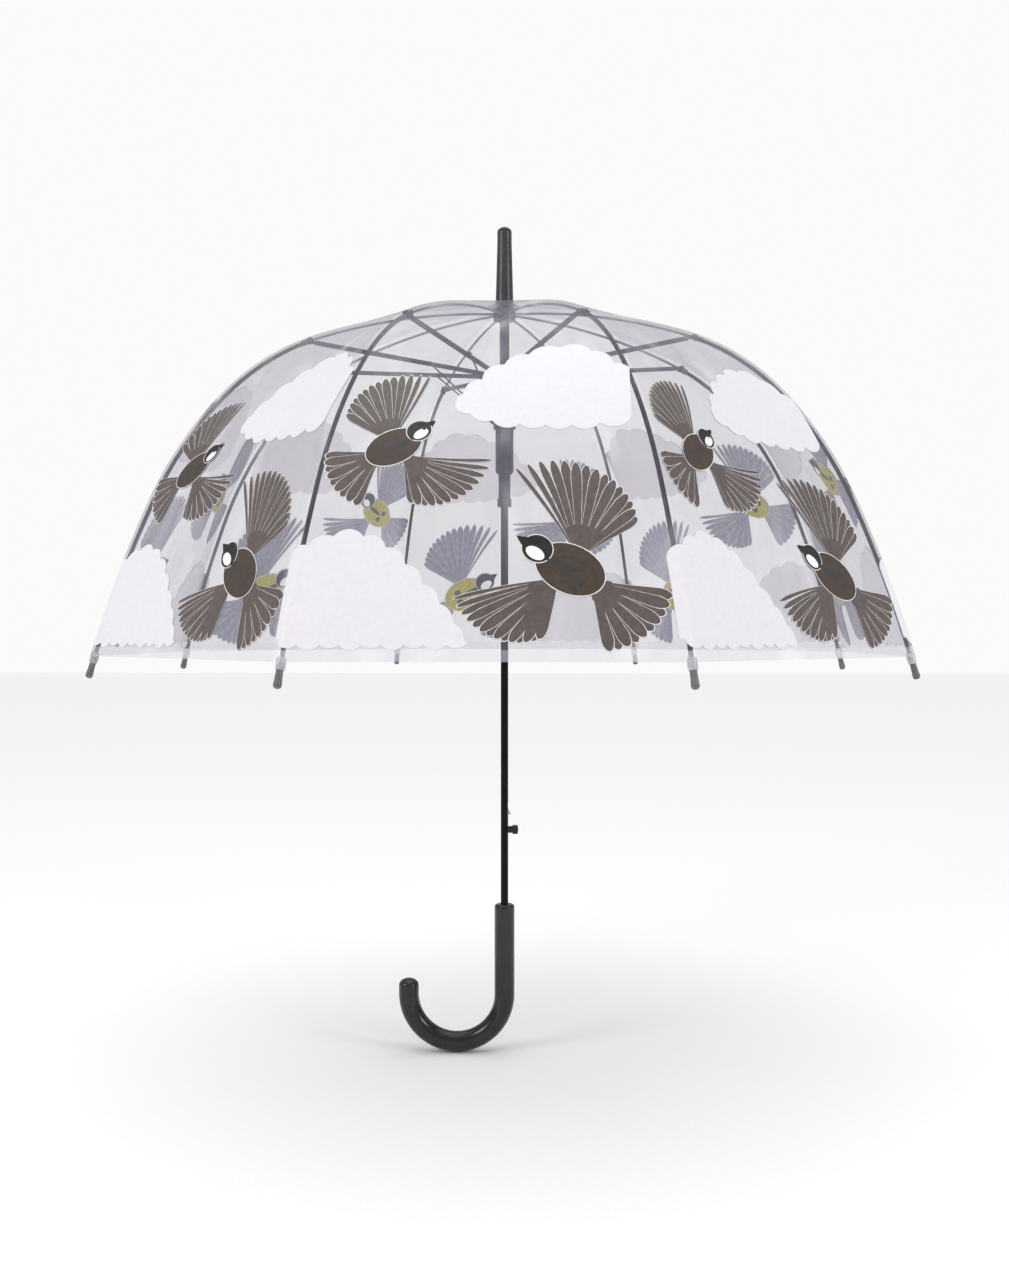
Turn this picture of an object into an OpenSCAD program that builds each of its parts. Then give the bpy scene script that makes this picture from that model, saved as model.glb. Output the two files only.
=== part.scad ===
// Clear dome umbrella with an automatic opening frame and a crook handle.
// Frame: +Z runs up the shaft, the origin is the middle of the straight grip,
// and the crook opens towards -X. Ribs stand at 22.5 degrees and every 45 from there.

/* [Shaft and handle] */
// Radius of the shaft tube
shaft_r = 3.7; // [3.6:0.05:3.75]
// Height of the ferrule's foot above the origin
ferrule_foot_z = 644; // [643.6:0.1:645]
// Length of the ferrule
ferrule_len = 74; // [60:1:90]
// Radius of the handle's round bar
handle_r = 10; // [9:0.5:11]
// Length of the straight grip
grip_len = 90; // [80:1:96]
// Centreline radius of the crook
crook_r = 48; // [40:1:60]

/* [Ribs] */
// Radius of the glass-fibre rib rod
rod_r = 1.9; // [1.5:0.1:2]
// Radius of the thin upper rib wire
link_r = 1.2; // [0.9:0.1:1.3]
// Sideways offset of the strut's plane from the rib's plane
strut_offset = 4; // [4:0.1:4.2]
// Height of the strut's channel
strut_h = 4; // [3:0.1:4.4]
// Radius of the secondary strut wire
wire_r = 0.8; // [0.6:0.05:0.8]

/* [Canopy] */
// Thickness of the clear sheet
sheet_t = 0.4; // [0.3:0.1:1]
// Distance of the sheet from the ribs' centrelines
sheet_off = 3.8; // [3.6:0.1:4.5]

/* [Catch] */
// Height of the push button's centre
button_z = 119.5; // [117:0.5:120]
// Height of the catch's ledge
ledge_z = 134.5; // [134:0.5:136]

/* [Hidden] */
$fn = 48;

rib_count = 8;
pitch = 360 / rib_count;
eps = 0.05;

// Pivots in a rib's own plane: x is the radius from the shaft's axis, y the height.
crown_pivot = [8, 634];
knee = [197, 593.5];
ring_pivot = [10, 573.5];
housing_pivot = [9.5, 523.5];
wire_reach = 68.5;
strut_dir = (knee - ring_pivot) / norm(knee - ring_pivot);
wire_top = ring_pivot + wire_reach * strut_dir;

// The rod bends most near the knee and runs nearly straight at its tip:
// three arcs, each [radius, turn in degrees], that follow on from each other.
rod_heading = -23.5;
rod_arcs = [[234, 24.5], [372, 18.5], [1161, 7.5]];
link_bulge = 8;

// Pins and the clearances they run in
pin_r = 0.8;
knee_pin_r = 1;
pin_play = 0.06;
shaft_play = 0.08;

tube_wall = 0.6;
tube_seat_z = -30;
tube_top_z = ferrule_foot_z + 40;
crown_r = 11;
crown_z = [628.5, 639.5];
sleeve_r = 4.8;
sleeve_z = [584, 628.2];

runner_tube_r = 6;
runner_foot_z = 442;
runner_top_z = 580;
collar_r = 7.1;
collar_h = 8;
ring_core_r = 8.2;
ring_z = [566.5, 580];
flange_r = 7.7;
flange_z = [517, 520];
catch_slot_h = 17.6;

housing_r = 9;
housing_z = [475, 519.5];
housing_wall = 1;
housing_cap_z = [519.7, 528];
housing_cap_r = 11;
spring_z = [477.6, 516.6];
spring_wire_r = 0.55;
spring_coil_r = 7.05;
spring_turns = 9;

tip_len = 24;
tip_tail = 17;

// Steps of the sheet down each rib
sheet_steps = 5;

// ---- Plane geometry -------------------------------------------------------

function rib_azimuth(k) = pitch / 2 + (k - 1) * pitch;
function polar(a) = [cos(a), sin(a)];
// Centre of an arc that starts at p on heading h and turns clockwise with radius r
function arc_centre(p, h, r) = p - r * polar(h + 90);
function arc_end(p, h, r, turn) = arc_centre(p, h, r) + r * polar(h + 90 - turn);
function rod_start(i) = i == 0 ? knee
    : arc_end(rod_start(i - 1), rod_heading_at(i - 1), rod_arcs[i - 1][0], rod_arcs[i - 1][1]);
function rod_heading_at(i) = i == 0 ? rod_heading : rod_heading_at(i - 1) - rod_arcs[i - 1][1];
function rod_point(i, share, off = 0) =
    let (r = rod_arcs[i][0], h = rod_heading_at(i))
    arc_centre(rod_start(i), h, r) + (r + off) * polar(h + 90 - share * rod_arcs[i][1]);

rod_foot = rod_start(len(rod_arcs));
foot_heading = rod_heading_at(len(rod_arcs));

link_chord = norm(knee - crown_pivot);
link_turn = 4 * atan(2 * link_bulge / link_chord);
link_arc_r = link_chord / 2 / sin(link_turn / 2);
link_heading = atan2(knee.y - crown_pivot.y, knee.x - crown_pivot.x) + link_turn / 2;
function link_point(share, off = 0) =
    arc_centre(crown_pivot, link_heading, link_arc_r)
    + (link_arc_r + off) * polar(link_heading + 90 - share * link_turn);

// The sheet's section along a rib, at a given distance outside the centrelines
function sheet_section(off) = concat(
    [[5.2, 641 + off - sheet_off], [14, 640.7 + off - sheet_off]],
    [for (s = [0.22:0.19:0.8]) link_point(s, off)],
    [for (i = [0:2]) for (j = [0:sheet_steps - 1]) rod_point(i, j / sheet_steps, off)],
    [rod_point(2, 0.985, off)]
);

// ---- Helpers --------------------------------------------------------------

// Draws in a rib's plane: x outwards, y up, z sideways
module at_rib(k) { rotate([0, 0, rib_azimuth(k)]) rotate([90, 0, 0]) children(); }
// A round disc or pin square to the rib's plane, from side a to side b
module cross_pin(p, r, a, b) { translate([p.x, p.y, a]) cylinder(r = r, h = b - a); }
// A flat bar between two points of the rib's plane, from side a to side b
module flat_bar(p, q, h, a, b) {
    translate([p.x, p.y, a]) rotate([0, 0, atan2(q.y - p.y, q.x - p.x)])
        translate([0, -h / 2, 0]) cube([norm(q - p), h, b - a]);
}
// A bent round bar along one arc
module arc_bar(p, h, r, turn, bar_r) {
    c = arc_centre(p, h, r);
    translate([c.x, c.y, 0]) rotate([0, 0, h + 90 - turn])
        rotate_extrude(angle = turn, $fn = 180) translate([r, 0]) circle(r = bar_r, $fn = 24);
}
module ring(r_out, r_in, z) {
    translate([0, 0, z[0]]) difference() {
        cylinder(r = r_out, h = z[1] - z[0]);
        translate([0, 0, -1]) cylinder(r = r_in, h = z[1] - z[0] + 2);
    }
}
module on_each_rib() { for (k = [1:rib_count]) at_rib(k) children(); }

// ---- Shaft, ferrule and handle --------------------------------------------

module shaft() {
    color("#1c1c1f") difference() {
        ring(shaft_r, shaft_r - tube_wall, [tube_seat_z, tube_top_z]);
        // windows for the catch and the button
        translate([0, -1.3, ledge_z - 1.4]) cube([6, 2.6, 12.6]);
        translate([0, -1.8, button_z - 4]) cube([6, 3.6, 8]);
    }
}

module ferrule() {
    top = ferrule_foot_z + ferrule_len;
    color("#3b3b40") difference() {
        translate([0, 0, ferrule_foot_z]) rotate_extrude() polygon([
            [0, 0], [9.2, 0], [9.2, 1.6], [8.8, 3], [7.2, ferrule_len - 12],
            [7.2, ferrule_len - 1], [6.4, ferrule_len], [0, ferrule_len]]);
        translate([0, 0, ferrule_foot_z - 1]) cylinder(r = shaft_r + eps, h = 41 + eps);
        translate([0, 0, top - 6]) cylinder(r = 3, h = 7);
    }
}

module ferrule_cap() {
    top = ferrule_foot_z + ferrule_len + 0.1;
    color("#2b2b2e") union() {
        translate([0, 0, top]) rotate_extrude() intersection() {
            translate([0, -4.2]) circle(r = 8.2, $fn = 96);
            square([7, 6]);
        }
        translate([0, 0, top - 5]) cylinder(r = 2.9, h = 5.4);
    }
}

module crown() {
    color("#2a2c35") union() {
        difference() {
            ring(crown_r, shaft_r + shaft_play, crown_z);
            on_each_rib() translate([6, crown_z[0] - 1, -1.3]) cube([6, 14, 2.6]);
        }
        on_each_rib() cross_pin(crown_pivot, pin_r, -1.7, 1.7);
    }
}

module stop_sleeve() { color("#343846") ring(sleeve_r, shaft_r + shaft_play, sleeve_z); }

module handle() {
    half = grip_len / 2;
    lip = 3;
    stub = 8;
    color("#2f2f33") difference() {
        union() {
            translate([0, 0, -half]) rotate_extrude() union() {
                square([handle_r, grip_len - lip]);
                square([handle_r - lip, grip_len]);
                translate([handle_r - lip, grip_len - lip]) circle(r = lip);
            }
            translate([-crook_r, 0, -half]) rotate([-90, 0, 0])
                rotate_extrude(angle = 180, $fn = 120) translate([crook_r, 0]) circle(r = handle_r);
            translate([-2 * crook_r, 0, -half - eps]) rotate_extrude() union() {
                square([handle_r, stub]);
                translate([0, stub]) intersection() {
                    scale([1, 0.7]) circle(r = handle_r, $fn = 96);
                    square([handle_r, handle_r]);
                }
            }
        }
        translate([0, 0, tube_seat_z]) cylinder(r = shaft_r + eps, h = half + 60);
    }
}

// ---- Catch and button -----------------------------------------------------

module catch() {
    leaf_x = 2.2;
    nose_x = 6.6;
    color("#4a4a50") translate([0, 1, 0]) rotate([90, 0, 0]) linear_extrude(2) polygon([
        [leaf_x, ledge_z - 8], [leaf_x, ledge_z + 30], [leaf_x - 0.6, ledge_z + 30],
        [leaf_x - 0.6, ledge_z - 8.6]]);
    color("#4a4a50") translate([0, 1, 0]) rotate([90, 0, 0]) linear_extrude(2) polygon([
        [leaf_x - 0.1, ledge_z], [nose_x, ledge_z], [leaf_x - 0.1, ledge_z + 9]]);
    color("#4a4a50") translate([leaf_x - 0.3, 1.1, ledge_z + 30]) rotate([90, 0, 0])
        cylinder(r = 0.6, h = 2.2);
}

module button() {
    neck_h = 6.5;
    head_h = 8.4;
    color("#151517") union() {
        translate([0.6, -1.5, button_z - neck_h / 2]) cube([8.4, 3, neck_h]);
        translate([11.4, 0, button_z]) intersection() {
            translate([-3.4, -2.6, -head_h / 2]) cube([5.8, 5.2, head_h]);
            rotate([90, 0, 0]) translate([-8.4, 0, -3]) cylinder(r = 10.8, h = 6, $fn = 96);
        }
    }
}

// ---- Runner, spring and housing -------------------------------------------

module strut_cheeks() {
    // two cheeks that hold each strut's eye, with the pin through them
    inner = strut_offset - 1.4;
    outer = strut_offset + 1.4;
    for (side = [[inner - 1, inner], [outer, outer + 1]])
        flat_bar([6.4, ring_pivot.y], ring_pivot, 5, side[0], side[1]);
    for (side = [[inner - 1, inner], [outer, outer + 1]])
        cross_pin(ring_pivot, 2.5, side[0], side[1]);
    cross_pin(ring_pivot, pin_r, inner - 0.5, outer + 0.5);
}

module runner() {
    color("#23252e") difference() {
        union() {
            translate([0, 0, runner_foot_z]) cylinder(r = runner_tube_r, h = runner_top_z - runner_foot_z);
            translate([0, 0, runner_foot_z]) cylinder(r = collar_r, h = collar_h);
            translate([0, 0, flange_z[0]]) cylinder(r = flange_r, h = flange_z[1] - flange_z[0]);
            difference() {
                translate([0, 0, ring_z[0]]) cylinder(r = ring_core_r, h = ring_z[1] - ring_z[0]);
                on_each_rib() translate([7.6, ring_z[0] - 1, strut_offset - 1.4]) cube([4, 16, 2.8]);
            }
            on_each_rib() strut_cheeks();
        }
        translate([0, 0, runner_foot_z - 1]) cylinder(r = shaft_r + shaft_play, h = 160);
        translate([0, -1.8, runner_foot_z - 1]) cube([10, 3.6, catch_slot_h + 1]);
    }
}

// A round wire wound into a helix, as rings of points joined by quads
module helix(coil_r, wire, z, turns) {
    sides = 6;
    per_turn = 16;
    steps = turns * per_turn;
    rise = (z[1] - z[0] - 2 * wire) / turns / 360;
    points = [for (i = [0:steps]) for (j = [0:sides - 1])
        let (t = i * 360 / per_turn, s = j * 360 / sides, r = coil_r + wire * cos(s))
        [r * cos(t), r * sin(t), z[0] + wire + rise * t + wire * sin(s)]];
    quads = [for (i = [0:steps - 1]) for (j = [0:sides - 1])
        let (a = i * sides + j, b = i * sides + (j + 1) % sides)
        [a, b, b + sides, a + sides]];
    first = [for (j = [sides - 1:-1:0]) j];
    last = [for (j = [0:sides - 1]) steps * sides + j];
    polyhedron(points, concat([first], quads, [last]));
}

module opening_spring() {
    color("#8d9096") helix(spring_coil_r, spring_wire_r, spring_z, spring_turns);
}

module spring_housing() {
    inner_r = housing_r - housing_wall;
    color("#262936") difference() {
        translate([0, 0, housing_z[0]]) rotate_extrude() polygon([
            [0, 0], [7.4, 0], [housing_r, 2.4], [housing_r, housing_z[1] - housing_z[0]],
            [0, housing_z[1] - housing_z[0]]]);
        translate([0, 0, housing_z[0] - 1]) cylinder(r = runner_tube_r + 0.1, h = 60);
        translate([0, 0, housing_z[0] + 2.4]) cylinder(r = inner_r, h = 60);
    }
}

module housing_cap() {
    color("#23252e") union() {
        difference() {
            ring(housing_cap_r, runner_tube_r + 0.1, housing_cap_z);
            on_each_rib() translate([7.7, housing_cap_z[0] - 1, -1.1]) cube([4, 12, 2.2]);
            // room for the runner's flange under the cap
            translate([0, 0, housing_cap_z[0] - 1]) cylinder(r = flange_r + 0.15, h = 1.6);
        }
        on_each_rib() cross_pin(housing_pivot, 0.6, -1.5, 1.5);
    }
}

// ---- Folding frame ---------------------------------------------------------

module link(k) {
    color("#5b5e68") at_rib(k) difference() {
        union() {
            arc_bar(crown_pivot, link_heading, link_arc_r, link_turn, link_r);
            cross_pin(crown_pivot, 1.7, -1, 1);
            cross_pin(knee, 2.6, -1, 1);
        }
        cross_pin(crown_pivot, pin_r + pin_play, -2, 2);
        cross_pin(knee, knee_pin_r + pin_play, -2, 2);
    }
}

// The rod itself: rings of points along its three arcs, joined by quads
module rod_sweep(from_share) {
    sides = 12;
    steps = 8;
    stations = concat(
        [for (j = [0:steps - 1]) [0, from_share + (1 - from_share) * j / steps]],
        [for (i = [1:2]) for (j = [0:steps - 1]) [i, j / steps]],
        [[2, 1]]);
    rings = len(stations);
    points = [for (s = stations) for (j = [0:sides - 1])
        let (a = j * 360 / sides, p = rod_point(s[0], s[1], rod_r * cos(a)))
        [p.x, p.y, rod_r * sin(a)]];
    quads = [for (i = [0:rings - 2]) for (j = [0:sides - 1])
        let (a = i * sides + j, b = i * sides + (j + 1) % sides)
        [a, a + sides, b + sides, b]];
    first = [for (j = [0:sides - 1]) j];
    last = [for (j = [sides - 1:-1:0]) (rings - 1) * sides + j];
    polyhedron(points, concat([first], quads, [last]));
}

module rib(k) {
    clip_len = 8;
    bridge_from = 3.4;
    share_per_mm = 180 / PI / rod_arcs[0][0] / rod_arcs[0][1];
    clip_end = rod_point(0, clip_len * share_per_mm);
    color("#17171a") at_rib(k) union() {
        for (side = [[-2.25, -1.25], [1.25, 2.25]]) {
            cross_pin(knee, 3, side[0], side[1]);
            flat_bar(knee, clip_end, 4.4, side[0], side[1]);
        }
        cross_pin(knee, knee_pin_r, -2.45, 2.45);
        flat_bar(rod_point(0, bridge_from * share_per_mm), clip_end, 4.4, -2.25, 2.25);
        rod_sweep((bridge_from + 1) * share_per_mm);
    }
}

module tip(k) {
    color("#6d6a6c") at_rib(k) translate([rod_foot.x, rod_foot.y, 0])
        rotate([0, 0, foot_heading]) rotate([0, 90, 0]) difference() {
            translate([0, 0, tip_tail - tip_len]) rotate_extrude() polygon([
                [0, 0], [2.7, 0], [3, 1], [3, 7], [2.7, 9], [2.9, 16], [3.3, tip_len - 3],
                [2.9, tip_len - 1.2], [1.6, tip_len - 0.2], [0, tip_len]]);
            translate([0, 0, tip_tail - tip_len - 1]) cylinder(r = rod_r + 0.06, h = tip_len - tip_tail + 1.1);
        }
}

module strut(k) {
    a = strut_offset - 1.2;
    b = strut_offset + 1.2;
    eye_gap = 6;
    wall = 0.6;
    along = norm(knee - ring_pivot);
    tilt = atan2(strut_dir.y, strut_dir.x);
    color("#3a3f4e") at_rib(k) difference() {
        union() {
            translate([ring_pivot.x, ring_pivot.y, 0]) rotate([0, 0, tilt]) {
                difference() {
                    translate([eye_gap, -strut_h / 2, a]) cube([along - 2 * eye_gap, strut_h, b - a]);
                    translate([eye_gap + 4, -strut_h / 2 - 1, a + wall])
                        cube([along - 2 * eye_gap - 8, strut_h + 1 - wall, b - a - 2 * wall]);
                }
                translate([0, -1.2, a + 0.2]) cube([eye_gap + 1, 2.4, b - a - 0.4]);
                translate([along - eye_gap - 1, -1.4, a + 0.1]) cube([eye_gap + 1, 2.8, b - a - 0.2]);
            }
            cross_pin(ring_pivot, 1.6, a + 0.1, b - 0.1);
            cross_pin(knee, 2.6, a, b);
            cross_pin(knee, 1.8, b - 0.4, b + 0.8);
            cross_pin(wire_top, 1.2, 1.15, a + wall / 2);
        }
        cross_pin(ring_pivot, pin_r + pin_play, a - 1, b + 1);
    }
}

module wire(k) {
    color("#454854") at_rib(k) difference() {
        union() {
            translate([housing_pivot.x, housing_pivot.y, 0])
                rotate([0, 0, atan2(wire_top.y - housing_pivot.y, wire_top.x - housing_pivot.x)])
                rotate([0, 90, 0]) cylinder(r = wire_r, h = norm(wire_top - housing_pivot));
            cross_pin(housing_pivot, 1.3, -0.9, 0.9);
            cross_pin(wire_top, 1.6, -0.9, 0.9);
        }
        cross_pin(housing_pivot, 0.6 + pin_play, -2, 2);
    }
}

// ---- Canopy -----------------------------------------------------------------

// One gore, flat across between two ribs and curved down its length
module gore(k) {
    inner = sheet_section(sheet_off);
    outer = sheet_section(sheet_off + sheet_t);
    rows = len(inner);
    edge = 0.15;
    side_a = polar(rib_azimuth(k));
    side_b = polar(rib_azimuth(k) + pitch);
    function corner(p, side, other) =
        let (flat = p.x * side, across = (other - side) / norm(other - side))
        [flat.x + edge * across.x, flat.y + edge * across.y, p.y];
    points = concat(
        [for (p = inner) each [corner(p, side_a, side_b), corner(p, side_b, side_a)]],
        [for (p = outer) each [corner(p, side_a, side_b), corner(p, side_b, side_a)]]);
    n = 2 * rows;
    quads = [for (i = [0:rows - 2])
        let (a = 2 * i)
        each [[a, a + 1, a + 3, a + 2], [n + a, n + a + 2, n + a + 3, n + a + 1],
              [a, a + 2, n + a + 2, n + a], [a + 1, n + a + 1, n + a + 3, a + 3]]];
    caps = [[0, n, n + 1, 1], [n - 2, n - 1, 2 * n - 1, 2 * n - 2]];
    color([0.93, 0.93, 0.95, 0.4]) polyhedron(points, concat(quads, caps));
}

shaft();
ferrule();
ferrule_cap();
crown();
stop_sleeve();
handle();
catch();
button();
runner();
opening_spring();
spring_housing();
housing_cap();
for (k = [1:rib_count]) {
    link(k);
    rib(k);
    tip(k);
    strut(k);
    wire(k);
    gore(k);
}
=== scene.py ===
"""A clear dome umbrella with printed birds and clouds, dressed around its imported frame."""
import logging
import math
from dataclasses import dataclass, field
from enum import Enum

import bpy
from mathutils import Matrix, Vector, noise


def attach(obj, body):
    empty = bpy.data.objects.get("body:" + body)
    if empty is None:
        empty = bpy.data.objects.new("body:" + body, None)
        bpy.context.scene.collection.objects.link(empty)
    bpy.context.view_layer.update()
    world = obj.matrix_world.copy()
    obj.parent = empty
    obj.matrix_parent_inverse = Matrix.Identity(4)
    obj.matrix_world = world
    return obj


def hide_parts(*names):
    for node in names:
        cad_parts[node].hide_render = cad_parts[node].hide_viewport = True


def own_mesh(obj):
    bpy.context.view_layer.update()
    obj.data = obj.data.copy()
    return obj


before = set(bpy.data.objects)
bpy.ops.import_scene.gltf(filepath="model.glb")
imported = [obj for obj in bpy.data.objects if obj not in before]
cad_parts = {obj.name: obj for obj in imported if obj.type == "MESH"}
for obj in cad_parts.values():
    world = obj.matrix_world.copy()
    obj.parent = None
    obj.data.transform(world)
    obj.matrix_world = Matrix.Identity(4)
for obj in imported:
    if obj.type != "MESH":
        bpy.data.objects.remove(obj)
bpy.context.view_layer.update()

LOG = logging.getLogger("umbrella")
RIB_COUNT = 8
PITCH = math.radians(45.0)
HALF_PITCH = PITCH / 2
COS_HALF = math.cos(HALF_PITCH)
SIN_HALF = math.sin(HALF_PITCH)

Colour = tuple[float, float, float]
Point2 = tuple[float, float]
Face = tuple[int, ...]
Scallop = tuple[float, float, float]


def turned(x: float, y: float, angle: float) -> Point2:
    """A point turned about the origin by an angle in radians."""
    return (x * math.cos(angle) - y * math.sin(angle),
            x * math.sin(angle) + y * math.cos(angle))


def stepped(start: Point2, reach: float, angle: float) -> Point2:
    """The point at a distance from another, along an angle in radians."""
    return start[0] + reach * math.cos(angle), start[1] + reach * math.sin(angle)


def stand(name: str, data: bpy.types.ID) -> bpy.types.Object:
    """A new object of the scene that holds a mesh, a lamp or a camera."""
    item = bpy.data.objects.new(name, data)
    bpy.context.scene.collection.objects.link(item)
    return item


class Side(Enum):
    """The face of the film that a print is seen on."""

    OUTER = "outer"
    INNER = "inner"


class Half(Enum):
    """The half of a gore, seen from outside, whose rib carries a piece."""

    LEFT = 0
    RIGHT = 1


# ---- Finishes ----


class NodeSheet:
    """A material's node tree with short calls to fill it."""

    def __init__(self, name: str) -> None:
        """Starts an empty material.

        Args:
            name: The material's name.
        """
        self.material = bpy.data.materials.new(name)
        self.material.use_nodes = True
        self.tree = self.material.node_tree
        self.tree.nodes.clear()
        self.output = self.tree.nodes.new("ShaderNodeOutputMaterial")
        self.shader = self.add("ShaderNodeBsdfPrincipled")
        self.link(self.shader.outputs["BSDF"], self.output.inputs["Surface"])
        self.coords = self.add("ShaderNodeTexCoord").outputs["Object"]

    def add(self, kind: str, **inputs: object) -> bpy.types.Node:
        """Adds a node and sets its inputs or properties.

        Args:
            kind: Blender's node type.
            inputs: Input names with underscores for spaces, or the node's own properties.

        Returns:
            The node.
        """
        node = self.tree.nodes.new(kind)
        for key, value in inputs.items():
            title = key.replace("_", " ")
            if title in node.inputs:
                node.inputs[title].default_value = value
            else:
                setattr(node, key, value)
        return node

    def link(self, source: bpy.types.NodeSocket, target: bpy.types.NodeSocket) -> None:
        """Joins an output to an input."""
        self.tree.links.new(source, target)

    def stretched(self, scale: tuple[float, float, float]) -> bpy.types.NodeSocket:
        """Object coordinates scaled along each axis.

        Args:
            scale: The factors along X, Y and Z.

        Returns:
            The vector output.
        """
        mapping = self.add("ShaderNodeMapping", Scale=scale)
        self.link(self.coords, mapping.inputs["Vector"])
        return mapping.outputs["Vector"]

    def grain(self, scale: float, detail: float, vector: bpy.types.NodeSocket | None = None,
              distortion: float = 0.0) -> bpy.types.NodeSocket:
        """A noise pattern fixed to the object.

        Args:
            scale: Cells per metre.
            detail: Octaves of finer noise.
            vector: Coordinates other than the object's own.
            distortion: How far the cells are bent.

        Returns:
            The noise's value output.
        """
        pattern = self.add("ShaderNodeTexNoise", Scale=scale, Detail=detail,
                           Distortion=distortion)
        self.link(vector or self.coords, pattern.inputs["Vector"])
        return pattern.outputs["Fac"]

    def ranged(self, value: bpy.types.NodeSocket, low: float, high: float,
               start: float = 0.3, end: float = 0.7) -> bpy.types.NodeSocket:
        """Maps a pattern's middle range onto two values.

        Args:
            value: The pattern.
            low: The result at or under start.
            high: The result at or over end.
            start: The pattern's low mark.
            end: The pattern's high mark.

        Returns:
            The mapped output.
        """
        node = self.add("ShaderNodeMapRange", From_Min=start, From_Max=end, To_Min=low,
                        To_Max=high)
        self.link(value, node.inputs["Value"])
        return node.outputs["Result"]

    def blend(self, value: bpy.types.NodeSocket, first: Colour, second: Colour,
              start: float = 0.35, end: float = 0.65) -> None:
        """Drives the base colour between two colours by a pattern.

        Args:
            value: The pattern.
            first: The colour at start.
            second: The colour at end.
            start: The pattern's low mark.
            end: The pattern's high mark.
        """
        ramp = self.add("ShaderNodeValToRGB")
        ramp.color_ramp.elements[0].position = start
        ramp.color_ramp.elements[0].color = (*first, 1.0)
        ramp.color_ramp.elements[1].position = end
        ramp.color_ramp.elements[1].color = (*second, 1.0)
        self.link(value, ramp.inputs["Fac"])
        self.link(ramp.outputs["Color"], self.shader.inputs["Base Color"])

    def bumped(self, height: bpy.types.NodeSocket, strength: float, distance: float) -> None:
        """Drives the surface's normal by a pattern.

        Args:
            height: The pattern.
            strength: The share of the bump that shows.
            distance: The bump's height in metres.
        """
        bump = self.add("ShaderNodeBump", Strength=strength, Distance=distance)
        self.link(height, bump.inputs["Height"])
        self.link(bump.outputs["Normal"], self.shader.inputs["Normal"])


@dataclass(frozen=True)
class Moulded:
    """A moulded or painted surface: mottled colour, uneven gloss and a fine grain."""

    name: str
    colour: Colour
    second: Colour
    roughness: float
    spread: float = 0.08
    scale: float = 90.0
    bump: float = 0.15
    metallic: float = 0.0
    coat: float = 0.0
    flutes: int = 0
    shine: float = 0.3
    coat_roughness: float = 0.08
    grain_height: float = 0.0002
    flute_height: float = 0.0006

    def material(self) -> bpy.types.Material:
        """Builds the finish.

        Returns:
            The material.
        """
        sheet = NodeSheet(self.name)
        shader = sheet.shader
        shader.inputs["Metallic"].default_value = self.metallic
        shader.inputs["Coat Weight"].default_value = self.coat
        shader.inputs["Specular IOR Level"].default_value = self.shine
        shader.inputs["Coat Roughness"].default_value = self.coat_roughness
        sheet.blend(sheet.grain(self.scale, 4.0), self.colour, self.second)
        wear = sheet.grain(self.scale * 0.4, 3.0, distortion=0.6)
        rough = sheet.ranged(wear, self.roughness - self.spread, self.roughness + self.spread)
        sheet.link(rough, shader.inputs["Roughness"])
        if self.flutes:
            sheet.bumped(self.fluted(sheet), 0.8, self.flute_height)
        else:
            sheet.bumped(sheet.grain(self.scale * 14, 2.0), self.bump, self.grain_height)
        return sheet.material

    def fluted(self, sheet: NodeSheet) -> bpy.types.NodeSocket:
        """Grooves that run up a round part, as a height pattern.

        Args:
            sheet: The material's nodes.

        Returns:
            The height output.
        """
        parts = sheet.add("ShaderNodeSeparateXYZ")
        sheet.link(sheet.coords, parts.inputs["Vector"])
        angle = sheet.add("ShaderNodeMath", operation="ARCTAN2")
        sheet.link(parts.outputs["Y"], angle.inputs[0])
        sheet.link(parts.outputs["X"], angle.inputs[1])
        turns = sheet.add("ShaderNodeMath", operation="MULTIPLY")
        turns.inputs[1].default_value = float(self.flutes)
        sheet.link(angle.outputs["Value"], turns.inputs[0])
        wave = sheet.add("ShaderNodeMath", operation="SINE")
        sheet.link(turns.outputs["Value"], wave.inputs[0])
        return wave.outputs["Value"]


@dataclass(frozen=True)
class Film:
    """Clear flexible film: a faint tint, a haze that thickens at glancing angles, and pale
    streaks of painted highlight.
    """

    name: str
    tint: Colour
    # painted_highlight is the pale colour of the painted highlight streaks;
    # painted_highlight_alpha is the opacity they add.
    painted_highlight: Colour
    haze: float
    painted_highlight_alpha: float
    glancing: float
    roughness: float
    ripple: float
    ior: float = 1.5
    shine: float = 0.8
    ripple_height: float = 0.004

    def material(self) -> bpy.types.Material:
        """Builds the finish.

        Returns:
            The material.
        """
        sheet = NodeSheet(self.name)
        shader = sheet.shader
        shader.inputs["IOR"].default_value = self.ior
        shader.inputs["Specular IOR Level"].default_value = self.shine
        # Noise streaks stretched up the dome blend the tint towards a pale colour and raise the
        # alpha there: painted highlight streaks that stand in for glossy reflections on the film.
        lines = sheet.grain(16.0, 5.0, sheet.stretched((1.0, 1.0, 0.22)), distortion=1.2)
        sheet.blend(lines, self.tint, self.painted_highlight, 0.5, 0.78)
        clouded = sheet.ranged(lines, self.haze, self.haze + self.painted_highlight_alpha, 0.42, 0.72)
        facing = sheet.add("ShaderNodeLayerWeight", Blend=0.35)
        edge = sheet.ranged(facing.outputs["Facing"], 0.0, self.glancing, 0.35, 1.0)
        total = sheet.add("ShaderNodeMath", operation="ADD", use_clamp=True)
        sheet.link(clouded, total.inputs[0])
        sheet.link(edge, total.inputs[1])
        sheet.link(total.outputs["Value"], shader.inputs["Alpha"])
        sheet.link(sheet.ranged(lines, self.roughness, self.roughness + 0.16),
                   shader.inputs["Roughness"])
        sheet.bumped(sheet.grain(22.0, 4.0, distortion=0.8), self.ripple,
                     self.ripple_height)
        return sheet.material


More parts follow.
